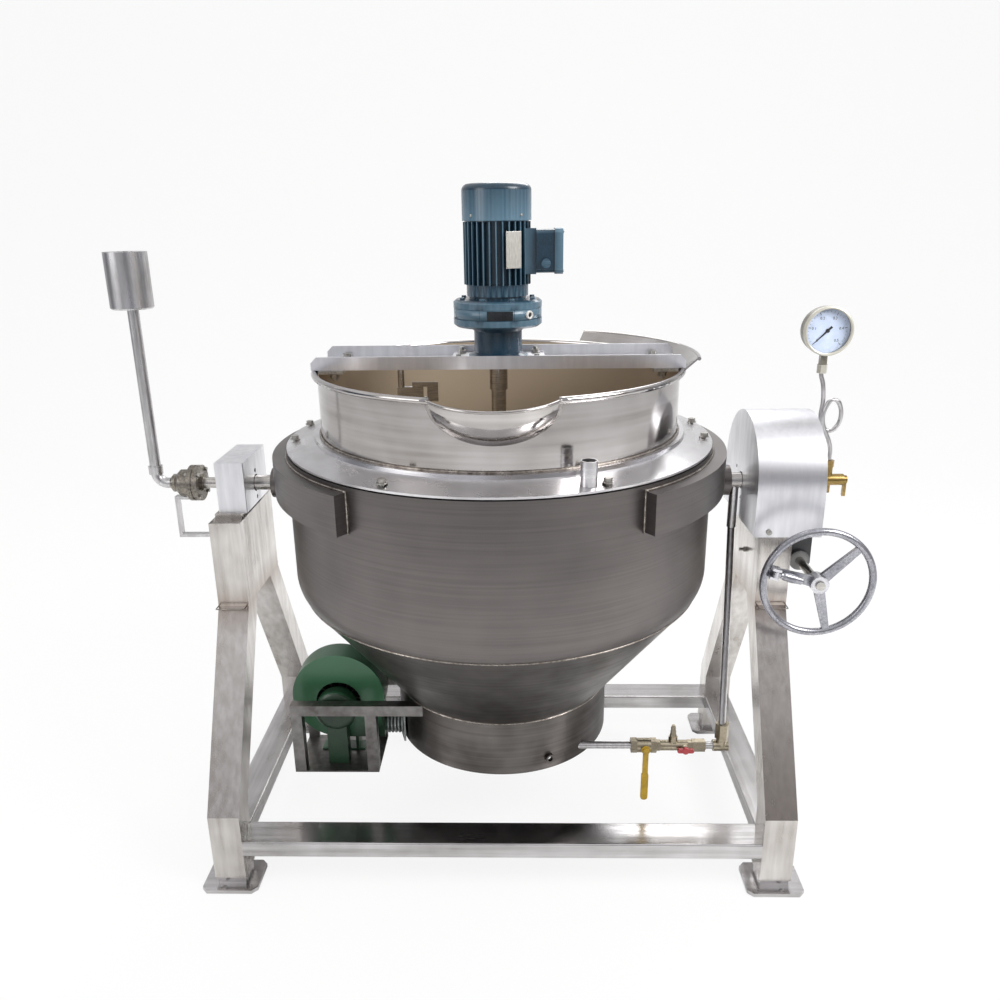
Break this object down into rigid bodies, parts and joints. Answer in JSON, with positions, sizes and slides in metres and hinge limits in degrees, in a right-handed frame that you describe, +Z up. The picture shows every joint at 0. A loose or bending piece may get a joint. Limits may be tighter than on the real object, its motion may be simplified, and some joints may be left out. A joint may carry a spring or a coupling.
{
  "type": "tilting steam jacketed kettle",
  "caption": "Tilting jacketed cooking kettle on an A-frame stand, with a motor-driven anchor stirrer, gas burner, blower and a handwheel worm drive for pouring.",
  "frame": {"origin": "on the floor, at the centre of the four anchor-bolt holes, directly below the bowl's axis", "axes": "+X to the gear and handwheel side, along the tilt axis; +Y away from the pouring lip, to the back; +Z up"},
  "size_m": [1.883, 1.086, 1.722],
  "materials": {
    "stand_steel": "satin polished, heat tint at the welds",
    "body_steel": "dull ground with horizontal marks",
    "pot_steel": "mirror polished",
    "deck_steel": "bright polished",
    "skirt_steel": "dull, smoke darkened",
    "shaft_steel": "turned",
    "fixings": "zinc plated",
    "gasket": "matt",
    "motor_paint": "gloss dark blue-green paint",
    "blower_paint": "gloss dark green paint",
    "wheel_paint": "silver paint",
    "gear_paint": "dark paint",
    "iron": "machined",
    "burner_iron": "as cast",
    "brass": "cast and turned",
    "lever_paint": "yellow sleeve on a steel bar",
    "tee_paint": "red enamel",
    "gas_steel": "satin pipe",
    "hose": "corrugated, dull",
    "gauge_metal": "olive-grey enamel",
    "dial": "pale matt enamel",
    "lens": "clear",
    "pointer": "black enamel",
    "scraper": "white food-grade plastic",
    "tank_steel": "satin"
  },
  "bodies": {
    "stand": {"front_legs": "stand_steel", "rear_legs": "stand_steel", "columns": "stand_steel", "front_beam": "stand_steel", "rear_beam": "stand_steel", "side_rails": "stand_steel", "foot_plates": "stand_steel", "bearing_box": "stand_steel", "pillow_blocks": "iron", "gear_guard": "stand_steel", "worm_gearbox": "gear_paint", "rotary_joint": "brass", "joint_stay": "gas_steel", "expansion_tank": "tank_steel", "stand_fixings": "fixings"},
    "stirrer": {"stirrer_shaft": "shaft_steel", "stirrer_frame": "deck_steel", "scrapers": "scraper"},
    "motor_rotor": {"motor_rotor": "iron"},
    "blower_impeller": {"blower_impeller": "iron"},
    "hand_drive": {"worm_shaft": "shaft_steel", "worm": "shaft_steel", "handwheel": "wheel_paint"},
    "fold_handle": {"fold_handle": "wheel_paint"},
    "ball_lever": {"ball_lever": "lever_paint"},
    "tee_handle": {"tee_handle": "tee_paint"},
    "cock_lever": {"cock_lever": "brass"},
    "gauge_pointer": {"gauge_pointer": "pointer"},
    "kettle": {"trunnion_left": "shaft_steel", "trunnion_right": "shaft_steel", "worm_wheel": "iron", "saddles": "body_steel", "inner_pot": "pot_steel", "deck_ring": "deck_steel", "jacket_gasket": "gasket", "deck_bolts": "fixings", "vent_nozzle": "deck_steel", "jacket_shell": "body_steel", "cone_skirt": "skirt_steel", "burner_housing": "skirt_steel", "ignition_port": "skirt_steel", "gas_burner": "burner_iron", "stirrer_beam": "deck_steel", "beam_bolts": "fixings", "probe_rod": "shaft_steel", "reducer": "motor_paint", "motor_body": "motor_paint", "fan_cover": "motor_paint", "terminal_box": "motor_paint", "blower_bracket": "stand_steel", "blower_scroll": "blower_paint", "blower_motor": "blower_paint", "air_hose": "hose", "gas_pipe": "gas_steel", "gas_valves": "brass", "gauge_cock": "brass", "siphon_tube": "gas_steel", "gauge_case": "gauge_metal", "gauge_dial": "dial", "gauge_lens": "lens"}
  },
  "joints": [
    {"name": "kettle_tilt", "type": "hinge", "parent": "stand", "child": "kettle", "pos_m": [0, 0, 0.98], "axis": [1, 0, 0], "range_deg": [0, 90]},
    {"name": "handwheel_turn", "type": "hinge", "parent": "stand", "child": "hand_drive", "pos_m": [0.77, -0.262, 0.8], "axis": [0, 1, 0], "range_deg": [0, 9450]},
    {"name": "handle_fold", "type": "hinge", "parent": "hand_drive", "child": "fold_handle", "pos_m": [0.66234, -0.282, 0.83087], "axis": [-0.2756, 0, -0.9613], "range_deg": [0, 90]},
    {"name": "stirrer_turn", "type": "hinge", "parent": "kettle", "child": "stirrer", "pos_m": [0, 0, 1], "axis": [0, 0, 1], "continuous": true},
    {"name": "motor_turn", "type": "hinge", "parent": "kettle", "child": "motor_rotor", "pos_m": [0, 0, 1.67], "axis": [0, 0, 1], "continuous": true},
    {"name": "blower_turn", "type": "hinge", "parent": "kettle", "child": "blower_impeller", "pos_m": [-0.447, -0.09, 0.384], "axis": [0, 1, 0], "continuous": true},
    {"name": "ball_valve_turn", "type": "hinge", "parent": "kettle", "child": "ball_lever", "pos_m": [0.384, -0.22, 0.301], "axis": [0, 1, 0], "range_deg": [0, 90]},
    {"name": "tee_cock_turn", "type": "hinge", "parent": "kettle", "child": "tee_handle", "pos_m": [0.488, -0.22, 0.301], "axis": [0, 1, 0], "range_deg": [0, 90]},
    {"name": "gauge_cock_turn", "type": "hinge", "parent": "kettle", "child": "cock_lever", "pos_m": [0.905, 0, 0.98], "axis": [1, 0, 0], "range_deg": [0, 90]},
    {"name": "pointer_turn", "type": "hinge", "parent": "kettle", "child": "gauge_pointer", "pos_m": [0.818, -0.011, 1.369], "axis": [0, 1, 0], "range_deg": [0, 270]}
  ],
  "couplings": [
    {"joint": "handwheel_turn", "follows": "kettle_tilt", "ratio": 105},
    {"joint": "motor_turn", "follows": "stirrer_turn", "ratio": 39}
  ]
}
